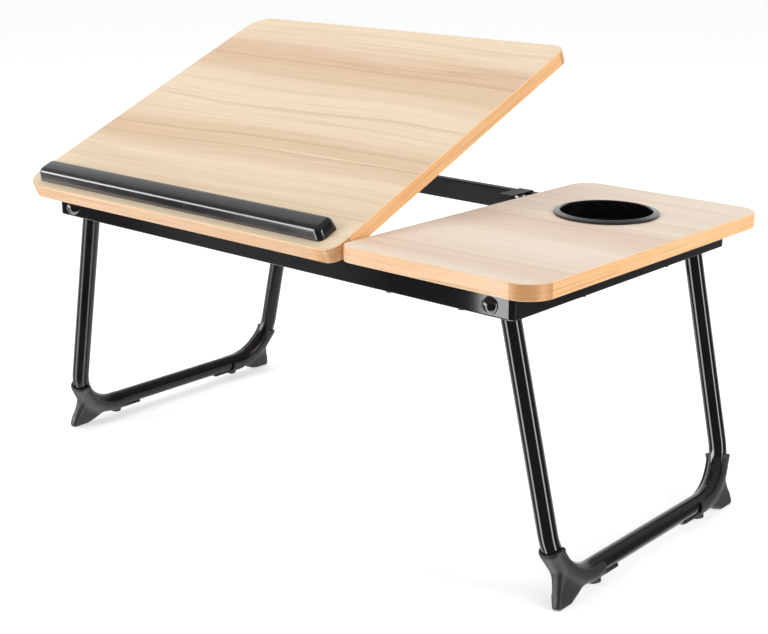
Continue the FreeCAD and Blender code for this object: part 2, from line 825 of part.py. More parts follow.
def board_leaf(centre_x):
    """The hinge leaf under the tilting board, drawn with the board flat."""
    x0 = centre_x - hinge_length / 2
    x1 = centre_x + hinge_length / 2
    leaf = block(x0, x1, from_front(board_leaf_start), from_front(board_leaf_end),
                 underside_z - leaf_thickness, underside_z)
    for a, b in knuckle_spans(centre_x)[1::2]:
        strip = block(a, b, hinge_y, from_front(board_leaf_start),
                      underside_z - leaf_thickness, underside_z)
        leaf = leaf.fuse(barrel(a, b)).fuse(strip)
    return leaf.cut(hinge_bore(centre_x)).removeSplitter()


def hinge_pin(centre_x):
    reach = hinge_length / 2
    return rod(Vector(centre_x - reach, hinge_y, hinge_z), Vector(centre_x + reach, hinge_y, hinge_z),
               hinge_pin_radius)


def hinge_pocket(centre_x):
    """Room in the board's underside for the knuckles."""
    reach = hinge_length / 2 + pocket_margin
    room = barrel_radius + pocket_margin
    return block(centre_x - reach, centre_x + reach, hinge_y - room, hinge_y + room,
                 underside_z, hinge_z + room)


def rail_leaf_rivets(centre_x):
    y = ring_front_y + rail_width / 2
    return [rod(Vector(centre_x + side, y, rail_top_z - rail_wall),
                Vector(centre_x + side, y, rail_top_z + leaf_thickness), rivet_diameter / 2)
            for side in (-rivet_pitch, rivet_pitch)]


def board_leaf_screws(centre_x):
    y = from_front((board_leaf_start + board_leaf_end) / 2)
    face_z = underside_z - leaf_thickness
    return [flush_screw(Vector(centre_x + side, y, underside_z + small_screw_bite),
                        Vector(centre_x + side, y, face_z), small_screw_diameter, small_screw_head,
                        small_screw_head_height)
            for side in (-rivet_pitch, rivet_pitch)]


# ---- tilt support ----
bail_y = hinge_y + bail_pivot_from_hinge
bail_z = underside_z - rod_top_clearance - rod_radius
strap_top_z = underside_z - strap_gap
strap_low_z = rail_top_z - strap_drop
strap_thickness = board_rise - strap_gap
rack_tip_z = strap_low_z + strap_thickness + rack_base + rack_tooth_height
foot_z = rack_tip_z + rack_clearance + rod_radius


def bail_pivot_at(tilt):
    """(y, z) of the bail's pivot with the board at a tilt."""
    angle = radians(tilt)
    y = bail_y - hinge_y
    z = bail_z - hinge_z
    return hinge_y + y * cos(angle) - z * sin(angle), hinge_z + y * sin(angle) + z * cos(angle)


def bail_slope(tilt):
    """How steeply the bail falls away in front of its pivot, in degrees."""
    return degrees(asin((bail_pivot_at(tilt)[1] - foot_z) / bail_reach))


def bail_foot_y(tilt):
    return bail_pivot_at(tilt)[0] - bail_reach * cos(radians(bail_slope(tilt)))


def bail_arm_x():
    return from_left(bail_arm_from_left), board_split_x - bail_arm_from_split


def strap_x():
    left_arm, right_arm = bail_arm_x()
    return {"left": left_arm - strap_from_arm, "right": right_arm + strap_from_arm}


def hinge_x():
    return {"left": from_left(hinge_from_left), "right": board_split_x - hinge_from_split}


def support_bail():
    """A bent rod: a bar in the clips, two arms, and feet turned outwards over the racks."""
    x0, x1 = bail_arm_x()
    places = [(x0 - bail_foot_length, -bail_reach), (x0, -bail_reach), (x0, 0),
              (x1, 0), (x1, -bail_reach), (x1 + bail_foot_length, -bail_reach)]
    bail = bent_rod([Vector(x, y, 0) for x, y in places], rod_bend_radius, rod_radius)
    bail.rotate(Vector(0, 0, 0), Vector(1, 0, 0), bail_slope(rest_tilt))
    y, z = bail_pivot_at(rest_tilt)
    bail.translate(Vector(0, y, z))
    return bail


def clip_x():
    left_arm, right_arm = bail_arm_x()
    return [left_arm + clip_inset, right_arm - clip_inset]


def bail_clip(x):
    """A saddle under the board that the bail's bar turns in."""
    inner = rod_radius + running_clearance
    outer = inner + clip_wall
    x0 = x - clip_length / 2
    x1 = x + clip_length / 2
    round_part = rod(Vector(x0, bail_y, bail_z), Vector(x1, bail_y, bail_z), outer)
    cheeks = block(x0, x1, bail_y - outer, bail_y + outer, bail_z, underside_z)
    ears = block(x0, x1, bail_y - outer - clip_ear, bail_y + outer + clip_ear,
                 underside_z - clip_wall, underside_z)
    hole = rod(Vector(x0, bail_y, bail_z), Vector(x1, bail_y, bail_z), inner)
    slot = block(x0, x1, bail_y - inner, bail_y + inner, bail_z, underside_z)
    below = block(x0, x1, bail_y - outer, bail_y + outer, underside_z, underside_z + outer)
    return round_part.fuse(cheeks).fuse(ears).cut(hole).cut(slot).cut(below).removeSplitter()


def clip_screws(x):
    reach = rod_radius + running_clearance + clip_wall + clip_ear / 2
    return [flush_screw(Vector(x, bail_y + side, underside_z + small_screw_bite),
                        Vector(x, bail_y + side, underside_z - clip_wall), small_screw_diameter,
                        small_screw_head, small_screw_head_height)
            for side in (-reach, reach)]


def tilt_rack(x):
    """A toothed strip; the bail's foot drops in behind a tooth at each angle."""
    start = bail_foot_y(rest_tilt) - rack_pitch * (rack_teeth_ahead_count + 0.5)
    count = rack_teeth_ahead_count + rack_teeth_behind_count
    low = strap_low_z + strap_thickness
    mid = low + rack_base
    points = [(start, low), (start, mid)]
    for index in range(count):
        foot = start + rack_pitch * index
        points.append((foot + rack_pitch * 0.7, mid + rack_tooth_height))
        points.append((foot + rack_pitch * 0.9, mid + rack_tooth_height))
        points.append((foot + rack_pitch, mid))
    end = start + rack_pitch * count
    points.append((end + rack_base, mid))
    points.append((end + rack_base, low))
    return prism_x(points, x - rack_width / 2, x + rack_width / 2)


def rack_screws(x):
    start = bail_foot_y(rest_tilt) - rack_pitch * (rack_teeth_ahead_count + 0.5)
    count = rack_teeth_ahead_count + rack_teeth_behind_count
    face_z = strap_low_z
    tip_z = strap_low_z + strap_thickness + rack_base - rack_screw_cover
    return [flush_screw(Vector(x, y, tip_z), Vector(x, y, face_z), small_screw_diameter, small_screw_head,
                        small_screw_head_height)
            for y in (start + rack_pitch, start + rack_pitch * (count - 1))]


def rack_strap(x):
    """A steel strap from the front rail to the back rail, stepped down between the legs."""
    x0 = x - strap_width / 2
    x1 = x + strap_width / 2
    step = from_front(strap_step_from_front)
    thick = strap_thickness
    high = block(x0, x1, ring_front_y + strap_rail_setback, step + thick,
                 strap_top_z - thick, strap_top_z)
    riser = block(x0, x1, step, step + thick, strap_low_z, strap_top_z)
    inner_face = ring_front_y + rail_width
    tab = block(x0, x1, inner_face, inner_face + thick, rail_top_z - strap_tab_height, rail_top_z + thick)
    end = high.fuse(riser).fuse(tab)
    low = block(x0, x1, step, 2 * ring_middle_y - step, strap_low_z, strap_low_z + thick)
    return end.fuse(far_side(end)).fuse(low).removeSplitter()


def strap_rivets(x):
    face = ring_front_y + rail_width + strap_thickness
    z = rail_top_z - rivet_drop
    rivets = []
    for side in (-rivet_pitch / 2, rivet_pitch / 2):
        start = Vector(x + side, face - strap_thickness - rail_wall, z)
        rivet = rod(start, Vector(x + side, face, z), rivet_diameter / 2)
        rivet = rivet.fuse(domed_head(Vector(x + side, face, z), Vector(0, 1, 0), rivet_head_diameter,
                                      rivet_head_height))
        rivet = rivet.removeSplitter()
        rivets += [rivet, far_side(rivet)]
    return rivets


def rest_pads():
    """Pads on the ring that the tilting board lies on when it is flat."""
    top = underside_z - rest_pad_gap
    reach = rest_pad_length / 2
    back = ring_back_y - rail_width / 2
    straps = strap_x()
    middle = (straps["left"] + straps["right"]) / 2
    pads = []
    for x in (from_left(rest_pad_from_left), middle, board_split_x - rest_pad_from_split):
        pads.append(block(x - reach, x + reach, back - rest_pad_width / 2, back + rest_pad_width / 2,
                          rail_top_z, top))
    x = ring_left_x + rail_width / 2
    pads.append(block(x - rest_pad_width / 2, x + rest_pad_width / 2, ring_middle_y - reach,
                      ring_middle_y + reach, rail_top_z, top))
    return pads


# ---- build and write every piece ----
def cut_all(shape, tools):
    return shape.cut(Part.makeCompound(tools)) if tools else shape


def write_fixed_group():
    rail_places = rail_screw_places()
    middle_places = middle_screw_places()
    long_screws = [board_screw(x, y, rail_bottom_z) for x, y in rail_places]
    short_screws = [board_screw(x, y, rail_top_z - middle_rail_height) for x, y in middle_places]
    core = board_plate(fixed_left_x, right_x, fixed_radii, band_thickness).cut(cup_bore())
    save("fixed_board", cut_all(core, long_screws + short_screws))
    save("fixed_board_edge_band", edge_band(fixed_left_x, right_x, fixed_radii))
    save("cup_holder", cup_holder())
    save("long_board_screws", *long_screws)
    save("short_board_screws", *short_screws)
    save("board_spacers", *[board_spacer(x, y) for x, y in rail_places + middle_places])
    return long_screws, short_screws


def write_frame(long_screws, short_screws):
    bolts, spacers, washers, nuts = four_pivots()
    strap_studs = [rivet for x in strap_x().values() for rivet in strap_rivets(x)]
    leaf_studs = [rivet for x in hinge_x().values() for rivet in rail_leaf_rivets(x)]
    fasteners = bolts + long_screws + strap_studs + leaf_studs
    for name, rail in zip(("front_rail", "right_rail", "back_rail", "left_rail"), ring_quarters()):
        save(name, cut_all(rail, fasteners))
    save("middle_rail", cut_all(middle_rail(), short_screws))
    for side, x in strap_x().items():
        screws = rack_screws(x)
        save(side + "_rack_strap", cut_all(rack_strap(x), strap_studs + screws))
        save(side + "_tilt_rack", cut_all(tilt_rack(x), screws))
    save("rack_screws", *[piece for x in strap_x().values() for piece in rack_screws(x)])
    save("strap_rivets", *strap_studs)
    for side, x in hinge_x().items():
        save(side + "_hinge_rail_leaf", cut_all(rail_leaf(x), leaf_studs))
    save("hinge_leaf_rivets", *leaf_studs)
    save("hinge_pins", *[hinge_pin(x) for x in hinge_x().values()])
    save("leg_pivot_bolts", *bolts)
    save("leg_pivot_spacers", *spacers)
    save("leg_pivot_washers", *washers)
    save("leg_pivot_nuts", *nuts)
    save("leg_stop_pads", *stop_pads())
    save("board_rest_pads", *rest_pads())


def write_tilting_group():
    leaf_screws = [piece for x in hinge_x().values() for piece in board_leaf_screws(x)]
    saddle_screws = [piece for x in clip_x() for piece in clip_screws(x)]
    ledge_screws = bar_screws()
    core = board_plate(left_x, board_split_x, tilting_radii, band_thickness)
    pockets = [hinge_pocket(x) for x in hinge_x().values()]
    core = cut_all(core, pockets + leaf_screws + saddle_screws + ledge_screws)
    save("tilting_board", tilted(core))
    save("tilting_board_edge_band", tilted(edge_band(left_x, board_split_x, tilting_radii)))
    save("stop_bar", tilted(cut_all(stop_bar(), ledge_screws)))
    save("stop_bar_screws", *[tilted(piece) for piece in ledge_screws])
    for side, x in hinge_x().items():
        save(side + "_hinge_board_leaf", tilted(cut_all(board_leaf(x), leaf_screws)))
    save("hinge_leaf_screws", *[tilted(piece) for piece in leaf_screws])
    for side, x in zip(("left", "right"), clip_x()):
        save(side + "_bail_clip", tilted(cut_all(bail_clip(x), saddle_screws)))
    save("bail_clip_screws", *[tilted(piece) for piece in saddle_screws])
    save("support_bail", support_bail())


def write_legs():
    foot, foot_screw = foot_parts()
    tube = cut_all(leg_tube(), [foot_screw, far_side(foot_screw)])
    plug = end_plug()
    pieces = {
        "leg": [tube],
        "leg_end_plugs": [plug, far_side(plug)],
        "leg_foot_screws": [foot_screw, far_side(foot_screw)],
    }
    for name, shapes in pieces.items():
        save("left_" + name, *shapes)
        save("right_" + name, *[other_leg(shape) for shape in shapes])
    save("front_left_foot", foot)
    save("back_left_foot", far_side(foot))
    save("back_right_foot", other_leg(foot))
    save("front_right_foot", other_leg(far_side(foot)))


os.makedirs("parts", exist_ok=True)
write_frame(*write_fixed_group())
write_tilting_group()
write_legs()
slope_flat = bail_slope(0)
slope_rest = bail_slope(rest_tilt)
print("tilt hinge y z", round(hinge_y, 3), round(hinge_z, 3))
print("bail pivot y z", [round(value, 3) for value in bail_pivot_at(rest_tilt)])
print("bail turns per tilt", round((slope_rest - rest_tilt - slope_flat) / rest_tilt, 4))
print("leg pivots x", left_pivot_x, right_pivot_x, "z", round(leg_pivot_z, 3))
print("front y", round(front_y, 3), "ring", round(ring_front_y, 3), round(ring_back_y, 3))
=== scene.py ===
import bpy
import json
from math import radians, sin, cos
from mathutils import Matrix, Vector


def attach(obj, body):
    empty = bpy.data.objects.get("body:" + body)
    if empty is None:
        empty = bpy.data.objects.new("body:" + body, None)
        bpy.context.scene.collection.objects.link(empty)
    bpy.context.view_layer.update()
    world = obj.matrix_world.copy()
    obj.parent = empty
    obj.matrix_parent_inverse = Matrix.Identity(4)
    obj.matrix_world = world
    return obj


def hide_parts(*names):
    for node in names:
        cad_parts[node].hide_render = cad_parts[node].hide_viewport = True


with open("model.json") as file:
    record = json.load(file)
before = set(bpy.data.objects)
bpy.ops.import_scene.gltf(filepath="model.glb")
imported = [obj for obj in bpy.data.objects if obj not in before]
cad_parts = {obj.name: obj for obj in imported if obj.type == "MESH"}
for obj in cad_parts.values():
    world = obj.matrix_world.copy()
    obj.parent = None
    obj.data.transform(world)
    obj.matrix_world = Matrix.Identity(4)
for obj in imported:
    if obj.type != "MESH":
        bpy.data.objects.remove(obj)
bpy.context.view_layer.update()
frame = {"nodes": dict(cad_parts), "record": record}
nodes = frame["nodes"]
print("frame loaded:", len(nodes), "nodes")

# the tilting board's hinge and slope, which its grain and its stop bar are laid out from
boardSlope = {"hingeY": -0.155852, "hingeZ": 0.2535, "tilt": 23.5, "thickness": 0.013}


# colours are written as a screen shows them, 0 to 255
def tone(red, green, blue):
    shades = []
    for value in (red / 255, green / 255, blue / 255):
        shades.append(value / 12.92 if value <= 0.04045 else ((value + 0.055) / 1.055) ** 2.4)
    return (*shades, 1.0)


# node tree helpers
def addNode(tree, kind, x, y, **settings):
    node = tree.nodes.new(kind)
    node.location = (x, y)
    for name, value in settings.items():
        setattr(node, name, value)
    return node


def feed(tree, value, socket):
    if value is None:
        return
    if isinstance(value, bpy.types.NodeSocket):
        tree.links.new(value, socket)
    else:
        socket.default_value = value


def calc(tree, operation, x, y, first, second=None, third=None):
    node = addNode(tree, "ShaderNodeMath", x, y, operation=operation)
    for value, socket in zip((first, second, third), node.inputs):
        feed(tree, value, socket)
    return node.outputs[0]


def remap(tree, x, y, value, fromLow, fromHigh, toLow=0.0, toHigh=1.0, smooth=True):
    node = addNode(tree, "ShaderNodeMapRange", x, y)
    node.interpolation_type = "SMOOTHSTEP" if smooth else "LINEAR"
    for socket, setting in zip(node.inputs, (value, fromLow, fromHigh, toLow, toHigh)):
        feed(tree, setting, socket)
    return node.outputs[0]


def blendColour(tree, x, y, factor, first, second, way="MIX"):
    node = addNode(tree, "ShaderNodeMix", x, y, data_type="RGBA", blend_type=way)
    feed(tree, factor, node.inputs[0])
    feed(tree, first, node.inputs[6])
    feed(tree, second, node.inputs[7])
    return node.outputs[2]


def noiseAt(tree, x, y, vector, scale, detail=2.0, roughness=0.5):
    node = addNode(tree, "ShaderNodeTexNoise", x, y)
    feed(tree, vector, node.inputs["Vector"])
    feed(tree, scale, node.inputs["Scale"])
    node.inputs["Detail"].default_value = detail
    node.inputs["Roughness"].default_value = roughness
    return node.outputs["Fac"]


def startMaterial(name):
    material = bpy.data.materials.new(name)
    material.use_nodes = True
    tree = material.node_tree
    tree.nodes.clear()
    output = addNode(tree, "ShaderNodeOutputMaterial", 1200, 0)
    shader = addNode(tree, "ShaderNodeBsdfPrincipled", 900, 0)
    tree.links.new(shader.outputs[0], output.inputs[0])
    where = addNode(tree, "ShaderNodeTexCoord", -1200, 0).outputs["Object"]
    return material, tree, shader, where


def startGroup(name, inputs, outputs):
    group = bpy.data.node_groups.new(name, "ShaderNodeTree")
    for title, kind, value in inputs:
        socket = group.interface.new_socket(name=title, in_out="INPUT", socket_type=kind)
        if value is not None:
            socket.default_value = value
    for title, kind in outputs:
        group.interface.new_socket(name=title, in_out="OUTPUT", socket_type=kind)
    return group, addNode(group, "NodeGroupInput", -1400, 0), addNode(group, "NodeGroupOutput", 1000, 0)


def placeGroup(tree, group, x, y, **values):
    node = addNode(tree, "ShaderNodeGroup", x, y, node_tree=group)
    for name, value in values.items():
        feed(tree, value, node.inputs[name])
    return node


# shared effects
def stretched(tree, x, y, vector, scales):  # a vector with its three parts scaled apart
    node = addNode(tree, "ShaderNodeVectorMath", x, y, operation="MULTIPLY")
    feed(tree, vector, node.inputs[0])
    node.inputs[1].default_value = scales
    return node.outputs[0]


def makeWoodFigure():  # long grain along X, across Y
    number = "NodeSocketFloat"
    group, start, end = startGroup(
        "woodFigure",
        [("vector", "NodeSocketVector", None), ("streaks", number, 200.0), ("lines", number, 26.0),
         ("wave", number, 0.03)],
        [("across", number), ("broad", number), ("streak", number), ("line", number), ("fibre", number)])
    split = addNode(group, "ShaderNodeSeparateXYZ", -1200, 0)
    feed(group, start.outputs["vector"], split.inputs[0])
    drawnOut = stretched(group, -1200, 300, start.outputs["vector"], (2.2, 6.0, 6.0))
    bend = noiseAt(group, -1000, 300, drawnOut, 1.0, 2.0, 0.4)
    swing = calc(group, "SUBTRACT", -820, 300, bend, 0.5)
    across = calc(group, "MULTIPLY_ADD", -640, 200, swing, start.outputs["wave"], split.outputs[1])
    feed(group, across, end.inputs["across"])

    def drawn(y, alongScale, acrossScale, detail, roughness):  # a noise pulled out along the grain
        joined = addNode(group, "ShaderNodeCombineXYZ", -200, y)
        feed(group, calc(group, "MULTIPLY", -400, y + 80, split.outputs[0], alongScale), joined.inputs[0])
        feed(group, calc(group, "MULTIPLY", -400, y, across, acrossScale), joined.inputs[1])
        feed(group, calc(group, "MULTIPLY", -400, y - 80, split.outputs[2], 30.0), joined.inputs[2])
        return noiseAt(group, 0, y, joined.outputs[0], 1.0, detail, roughness)

    count = start.outputs["streaks"]
    feed(group, drawn(600, 1.3, 24.0, 3.0, 0.5), end.inputs["broad"])
    feed(group, drawn(200, 3.4, count, 4.0, 0.65), end.inputs["streak"])
    level = calc(group, "SUBTRACT", 200, -200, drawn(-200, 0.9, start.outputs["lines"], 2.0, 0.55), 0.5)
    contour = remap(group, 500, -200, calc(group, "ABSOLUTE", 350, -200, level), 0.002, 0.022, 1.0, 0.0)
    presence = remap(group, 350, -400, drawn(-400, 2.0, 40.0, 2.0, 0.5), 0.45, 0.62)
    feed(group, calc(group, "MULTIPLY", 700, -200, contour, presence), end.inputs["line"])
    fine = calc(group, "MULTIPLY", -640, -700, count, 4.5)
    feed(group, drawn(-700, 22.0, fine, 3.0, 0.6), end.inputs["fibre"])
    return group


def makeSurfaceWear():  # slow unevenness, fine speckle and faint rubbed marks
    number = "NodeSocketFloat"
    group, start, end = startGroup(
        "surfaceWear",
        [("vector", "NodeSocketVector", None), ("size", number, 60.0), ("speckle", number, 1800.0)],
        [("uneven", number), ("grit", number), ("rubbed", number)])
    slow = noiseAt(group, -600, 300, start.outputs["vector"], start.outputs["size"], 3.0, 0.55)
    fine = noiseAt(group, -600, 0, start.outputs["vector"], start.outputs["speckle"], 2.0, 0.5)
    spread = calc(group, "MULTIPLY", -800, -300, start.outputs["size"], 0.35)
    marks = noiseAt(group, -600, -300, start.outputs["vector"], spread, 6.0, 0.7)
    feed(group, slow, end.inputs["uneven"])
    feed(group, fine, end.inputs["grit"])
    feed(group, remap(group, -200, -300, marks, 0.56, 0.74), end.inputs["rubbed"])
    return group


woodFigure = makeWoodFigure()
surfaceWear = makeSurfaceWear()


# materials
def grainSpace(tree, where, turned, shift=(0.0, 0.0, 0.0)):  # lays a pattern out flat on the board
    mapping = addNode(tree, "ShaderNodeMapping", -1000, 0, vector_type="TEXTURE")
    feed(tree, where, mapping.inputs["Vector"])
    hinge = Vector((0.0, boardSlope["hingeY"], boardSlope["hingeZ"]))
    mapping.inputs["Location"].default_value = hinge + Vector(shift)
    mapping.inputs["Rotation"].default_value = (radians(boardSlope["tilt"]) if turned else 0.0, 0.0, 0.0)
    return mapping.outputs[0]


def bandMask(tree, x, y, across, place):  # 1 inside a band across the grain, fading out at its sides
    aside = calc(tree, "ABSOLUTE", x, y, calc(tree, "SUBTRACT", x - 150, y, across, place["centre"]))
    return remap(tree, x + 150, y, aside, place["half"], place["half"] + place["soft"], place["depth"], 0.0)


def makeLaminate(name, turned, look):
    material, tree, shader, where = startMaterial(name)
    flat = grainSpace(tree, where, turned, look["shift"])
    figure = placeGroup(tree, woodFigure, -800, 0, vector=flat, streaks=look["streaks"], lines=look["lines"],
                        wave=look["wave"])
    across, broad, streak, line, fibre = figure.outputs
    blush = remap(tree, -500, 500, broad, 0.45, 0.70, 0.0, look["blushDepth"])
    for place in look["bandPlaces"]:
        blush = calc(tree, "MAXIMUM", -350, 500, blush, bandMask(tree, -600, 700, across, place))
    blush = calc(tree, "MULTIPLY", -200, 500, blush, remap(tree, -350, 600, broad, 0.25, 0.50, 0.55, 1.0))
    ground = blendColour(tree, -100, 300, blush, look["cream"], look["blush"])
    tanDepth = remap(tree, -500, 120, streak, 0.50, 0.74, 0.0, look["streakDepth"])
    ground = blendColour(tree, 0, 300, tanDepth, ground, look["tan"])
    paleDepth = remap(tree, -500, -60, streak, 0.48, 0.26, 0.0, look["paleDepth"])
    ground = blendColour(tree, 100, 300, paleDepth, ground, look["pale"])
    veins = calc(tree, "MULTIPLY", -300, -200, line, look["lineDepth"])
    for place in look["veinPlaces"]:
        veins = calc(tree, "MAXIMUM", -150, -200, veins, bandMask(tree, -450, -250, across, place))
    veins = calc(tree, "MULTIPLY", 0, -200, veins, calc(tree, "MULTIPLY_ADD", -100, -300, blush, 0.7, 0.45))
    ground = blendColour(tree, 300, 300, veins, ground, look["vein"])
    fibreDepth = remap(tree, -300, -400, fibre, 0.48, 0.75, 0.0, look["fibreDepth"])
    ground = blendColour(tree, 500, 300, fibreDepth, ground, look["tan"])
    feed(tree, ground, shader.inputs["Base Color"])
    wear = placeGroup(tree, surfaceWear, -300, -700, vector=where, size=25.0, speckle=1500.0)
    rough = remap(tree, 0, -300, streak, 0.3, 0.7, look["rough"] - 0.05, look["rough"] + 0.06, False)
    rough = calc(tree, "SUBTRACT", 100, -300, rough, 0.04)
    rough = calc(tree, "MULTIPLY_ADD", 200, -400, wear.outputs["uneven"], 0.08, rough)
    feed(tree, rough, shader.inputs["Roughness"])
    shader.inputs["Specular IOR Level"].default_value = look["shine"]
    bump = addNode(tree, "ShaderNodeBump", 500, -500)
    bump.inputs["Strength"].default_value = 0.10
    bump.inputs["Distance"].default_value = 0.0003
    feed(tree, calc(tree, "MULTIPLY_ADD", 200, -600, fibre, 0.5, streak), bump.inputs["Height"])
    feed(tree, bump.outputs[0], shader.inputs["Normal"])
    return material


largeTopLook = {
    "cream": tone(238, 217, 186), "blush": tone(222, 189, 158), "tan": tone(216, 184, 148),
    "pale": tone(245, 228, 198), "vein": tone(188, 150, 116), "streaks": 190.0, "lines": 30.0, "wave": 0.045,
    "blushDepth": 0.3, "streakDepth": 0.6, "paleDepth": 0.55, "lineDepth": 0.30, "fibreDepth": 0.35,
    "rough": 0.42, "shine": 0.4, "shift": (0.13, 0.0, 0.0),
    "bandPlaces": [{"centre": 0.255, "half": 0.010, "soft": 0.026, "depth": 1.0},
                   {"centre": 0.228, "half": 0.006, "soft": 0.014, "depth": 0.8},
                   {"centre": 0.107, "half": 0.012, "soft": 0.026, "depth": 0.85}],
    "veinPlaces": [{"centre": 0.168, "half": 0.0003, "soft": 0.0014, "depth": 0.35},
                   {"centre": 0.118, "half": 0.0004, "soft": 0.0018, "depth": 0.35},
                   {"centre": 0.101, "half": 0.0004, "soft": 0.0014, "depth": 0.30},
                   {"centre": 0.246, "half": 0.0006, "soft": 0.0018, "depth": 0.32}],
}
smallTopLook = {
    "cream": tone(238, 221, 202), "blush": tone(227, 201, 180), "tan": tone(214, 188, 164),
    "pale": tone(244, 231, 214), "vein": tone(200, 170, 144), "streaks": 190.0, "lines": 24.0, "wave": 0.035,
    "blushDepth": 0.4, "streakDepth": 0.55, "paleDepth": 0.45, "lineDepth": 0.28, "fibreDepth": 0.3,
    "rough": 0.42, "shine": 0.4, "shift": (0.41, 0.0, 0.0),
    "bandPlaces": [{"centre": 0.150, "half": 0.015, "soft": 0.035, "depth": 0.9},
                   {"centre": 0.020, "half": 0.008, "soft": 0.025, "depth": 0.8}],
    "veinPlaces": [{"centre": 0.045, "half": 0.0005, "soft": 0.0014, "depth": 0.35},
                   {"centre": 0.215, "half": 0.0005, "soft": 0.0014, "depth": 0.35}],
}


def outside(tree, x, y, value, ends, soft):  # 0 between two ends, rising to 1 past either of them
    below = remap(tree, x, y, value, ends[0], ends[0] - soft)
    above = remap(tree, x, y - 150, value, ends[1], ends[1] + soft)
    return calc(tree, "ADD", x + 200, y, below, above)


def makeEdgeBand(name, turned, look, board):  # streaks run round the board; the front faces get a painted sheen and the corners a painted shade
    material, tree, shader, where = startMaterial(name)
    flat = grainSpace(tree, where, turned)
    layers = noiseAt(tree, -600, 0, stretched(tree, -800, 0, flat, look["coarse"]), 1.0, 4.0, 0.6)
    fibres = noiseAt(tree, -600, -300, stretched(tree, -800, -300, flat, look["fine"]), 1.0, 3.0, 0.6)
    slow = remap(tree, -400, 300, noiseAt(tree, -600, 300, flat, 9.0, 2.0, 0.5), 0.40, 0.62)
    split = addNode(tree, "ShaderNodeSeparateXYZ", -800, 500)
    feed(tree, flat, split.inputs[0])
    along, deep, high = split.outputs
    ends, turns, joint = look[board + "Ends"], look["turns"], look["joint"]
    # painted sheen: the front faces take a paler tone than the short sides, which keep the band's own deeper
    # colour
    front = blendColour(tree, -300, 300, slow, look["light"], look["deep"])
    sides = blendColour(tree, -300, 100, slow, look["sideLight"], look["sideDeep"])
    atSide = outside(tree, -600, 600, along, (ends[0] + joint, ends[1]), joint)
    ground = blendColour(tree, -200, 200, atSide, front, sides)
    # painted shade: the band is painted deeper where it turns round the board's corners
    atTurn = outside(tree, -600, 800, deep, (turns[0] + joint, turns[1]), joint)
    nearEnd = outside(tree, -600, 1000, along, ends, look[board + "TurnSoft"])
    cornerShadeMask = calc(tree, "MULTIPLY", -200, 600, nearEnd, atTurn)
    ground = blendColour(tree, -100, 300, cornerShadeMask, ground, look["corner"])
    streaks = remap(tree, -400, 0, layers, 0.50, 0.72, 0.0, look["streakDepth"])
    ground = blendColour(tree, 0, 200, streaks, ground, look["streak"])
    paler = remap(tree, -400, -200, layers, 0.46, 0.28, 0.0, 0.5)
    ground = blendColour(tree, 200, 200, paler, ground, look["pale"])
    darker = remap(tree, -400, -400, fibres, 0.50, 0.74, 0.0, 0.4)
    ground = blendColour(tree, 400, 200, darker, ground, look["streak"])
    # painted highlight: a pale line along the band's arrises, away from its middle height
    height = calc(tree, "ABSOLUTE", 0, 500, calc(tree, "SUBTRACT", -200, 500, high, look["middle"]))
    arrisHighlight = remap(tree, 200, 500, height, look["arrisHighlight"], look["arrisHighlight"] + 0.0004, 0.0, 0.6)
    ground = blendColour(tree, 600, 200, arrisHighlight, ground, look["pale"])
    feed(tree, ground, shader.inputs["Base Color"])
    rough = remap(tree, 0, -200, layers, 0.3, 0.7, look["rough"] - 0.05, look["rough"] + 0.07, False)
    feed(tree, rough, shader.inputs["Roughness"])
    shader.inputs["Specular IOR Level"].default_value = look["shine"]
    bump = addNode(tree, "ShaderNodeBump", 500, -400)
    bump.inputs["Strength"].default_value = 0.15
    bump.inputs["Distance"].default_value = 0.0003
    feed(tree, fibres, bump.inputs["Height"])
    feed(tree, bump.outputs[0], shader.inputs["Normal"])
    return material


# the front colours light and deep carry a painted sheen; sideLight and sideDeep are the band's own colour
bandLook = {
    # the corner colour is a painted shade for the band's turns at the board's corners
    "light": tone(243, 203, 164), "deep": tone(240, 196, 152), "corner": tone(208, 152, 94),
    "sideLight": tone(250, 197, 138), "sideDeep": tone(244, 186, 124), "pale": tone(252, 218, 178),
    # the arris setting places a painted highlight line along the band's edges
    "streak": tone(204, 142, 90), "streakDepth": 0.6, "joint": 0.0006, "middle": 0.0050, "arrisHighlight": 0.0058,
    "coarse": (7.0, 7.0, 520.0), "fine": (40.0, 40.0, 2600.0), "rough": 0.40, "shine": 0.75,
    "turns": (0.0095, 0.3140), "largeEnds": (-0.2760, 0.0840), "largeTurnSoft": 0.012,
    "smallEnds": (0.1080, 0.2765), "smallTurnSoft": 0.0006,
}


def makeBlackFinish(name, look):
    material, tree, shader, where = startMaterial(name)
    wear = placeGroup(tree, surfaceWear, -700, 0, vector=where, size=look["size"], speckle=look["speckle"])
    uneven, grit, rubbed = wear.outputs
    cloudy = remap(tree, -400, 300, uneven, 0.35, 0.65)
    colour = blendColour(tree, -200, 300, cloudy, look["dark"], look["light"])
    dusty = calc(tree, "MULTIPLY", -200, 100, rubbed, look["dustAmount"])
    colour = blendColour(tree, 0, 300, dusty, colour, look["dust"])
    feed(tree, colour, shader.inputs["Base Color"])
    rough = remap(tree, -400, -100, uneven, 0.3, 0.7, look["rough"] * 0.85, look["rough"] * 1.15, False)
    rough = calc(tree, "MULTIPLY_ADD", -100, -100, rubbed, look["roughMarks"], rough)
    feed(tree, rough, shader.inputs["Roughness"])
    shader.inputs["Specular IOR Level"].default_value = look["shine"]
    shader.inputs["Coat Weight"].default_value = look["coat"]
    shader.inputs["Coat Roughness"].default_value = look["coatRough"]
    bump = addNode(tree, "ShaderNodeBump", 500, -400)
    bump.inputs["Strength"].default_value = look["bump"]
    bump.inputs["Distance"].default_value = look["bumpDepth"]
    feed(tree, grit, bump.inputs["Height"])
    feed(tree, bump.outputs[0], shader.inputs["Normal"])
    return material


